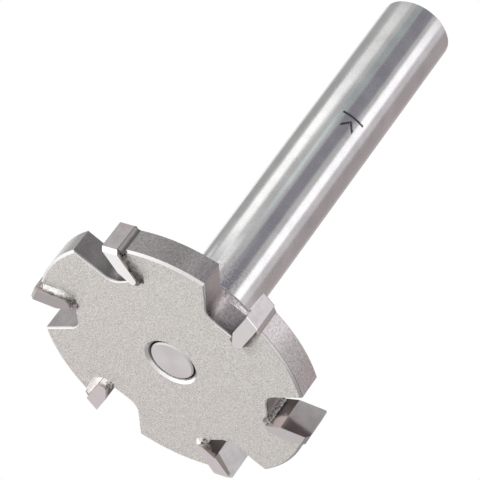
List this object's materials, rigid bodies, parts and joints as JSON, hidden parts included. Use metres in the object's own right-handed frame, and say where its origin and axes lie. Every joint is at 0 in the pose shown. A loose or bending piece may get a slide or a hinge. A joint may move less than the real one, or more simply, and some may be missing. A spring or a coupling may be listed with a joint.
{
  "type": "slotting router bit",
  "caption": "Router bit: a flat toothed cutter disc with brazed carbide tips on a long plain shank, for cutting slots and grooves.",
  "frame": {"origin": "on the tool's axis, in the plane of the carbide tips' end faces, on which the bit stands", "axes": "+Z along the axis to the free end of the shank, +X through the cutting edge of tip 1"},
  "size_m": [0.0516, 0.0494, 0.0842],
  "materials": {
    "shank_steel": "ground and polished round the shank",
    "body_steel": "fine bead-blasted satin",
    "carbide": "sintered carbide, ground faces",
    "braze": "bright silver braze, slightly rough"
  },
  "bodies": {
    "root": {"shank": "shank_steel", "cutter_body": "body_steel", "carbide_tip_1": "carbide", "braze_1": "braze", "carbide_tip_2": "carbide", "braze_2": "braze", "carbide_tip_3": "carbide", "braze_3": "braze", "carbide_tip_4": "carbide", "braze_4": "braze", "carbide_tip_5": "carbide", "braze_5": "braze", "carbide_tip_6": "carbide", "braze_6": "braze"}
  },
  "joints": []
}
